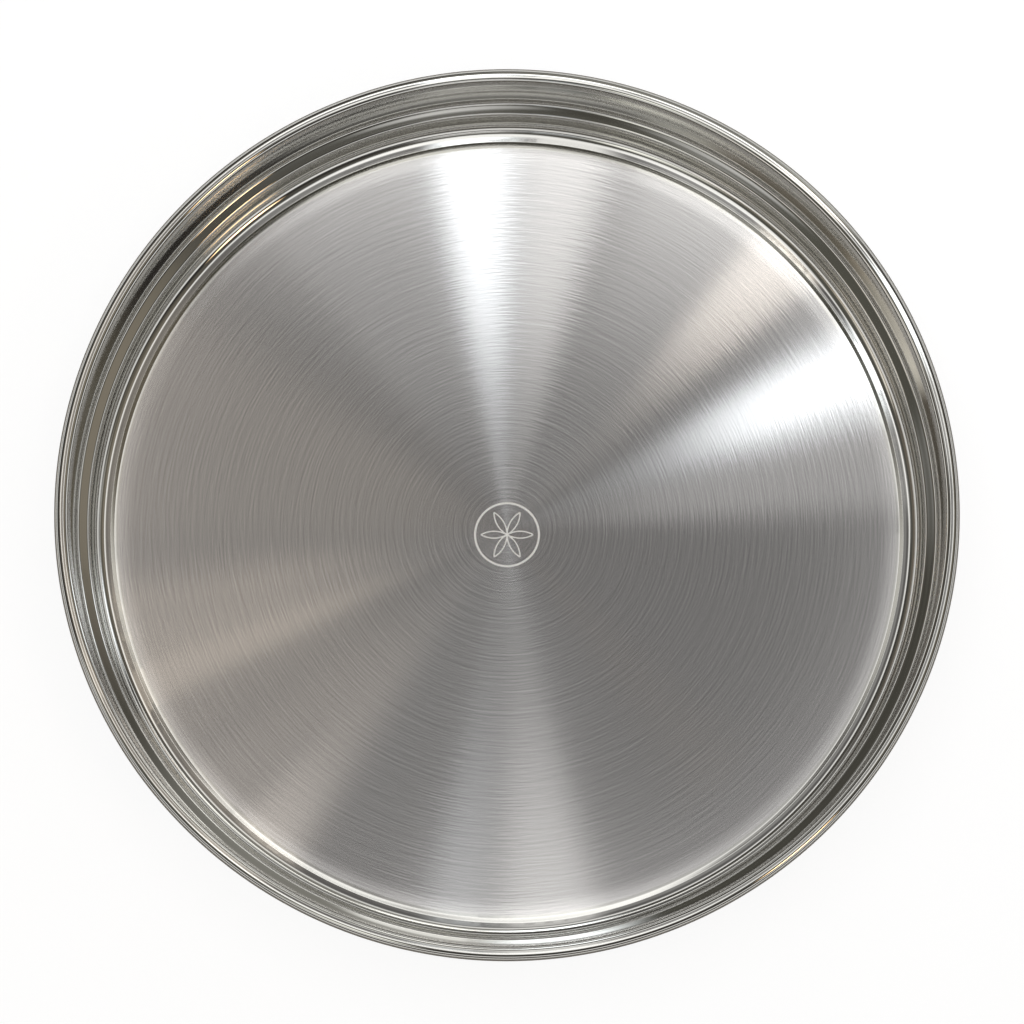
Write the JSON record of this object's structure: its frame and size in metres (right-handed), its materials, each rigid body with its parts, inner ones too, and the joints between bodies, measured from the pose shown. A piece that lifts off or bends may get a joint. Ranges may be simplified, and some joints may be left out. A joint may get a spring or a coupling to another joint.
{
  "type": "thali plate",
  "caption": "Round stainless-steel thali with an upright stepped wall, a rim rolled over a wire, a circular-brushed floor and a small engraved rosette.",
  "frame": {"origin": "centre of the foot ring's plane, where the plate stands on the table, on its axis", "axes": "+Z along the plate's axis, out of its open side; -Y towards the side where the engraved mark sits off centre"},
  "size_m": [0.3, 0.3, 0.038],
  "materials": {
    "polished_steel": "polished wall and rim, circular-brushed floor",
    "drawn_wire": "drawn wire, dull"
  },
  "bodies": {
    "root": {"pressed_dish": "polished_steel", "rim_wire": "drawn_wire"}
  },
  "joints": []
}
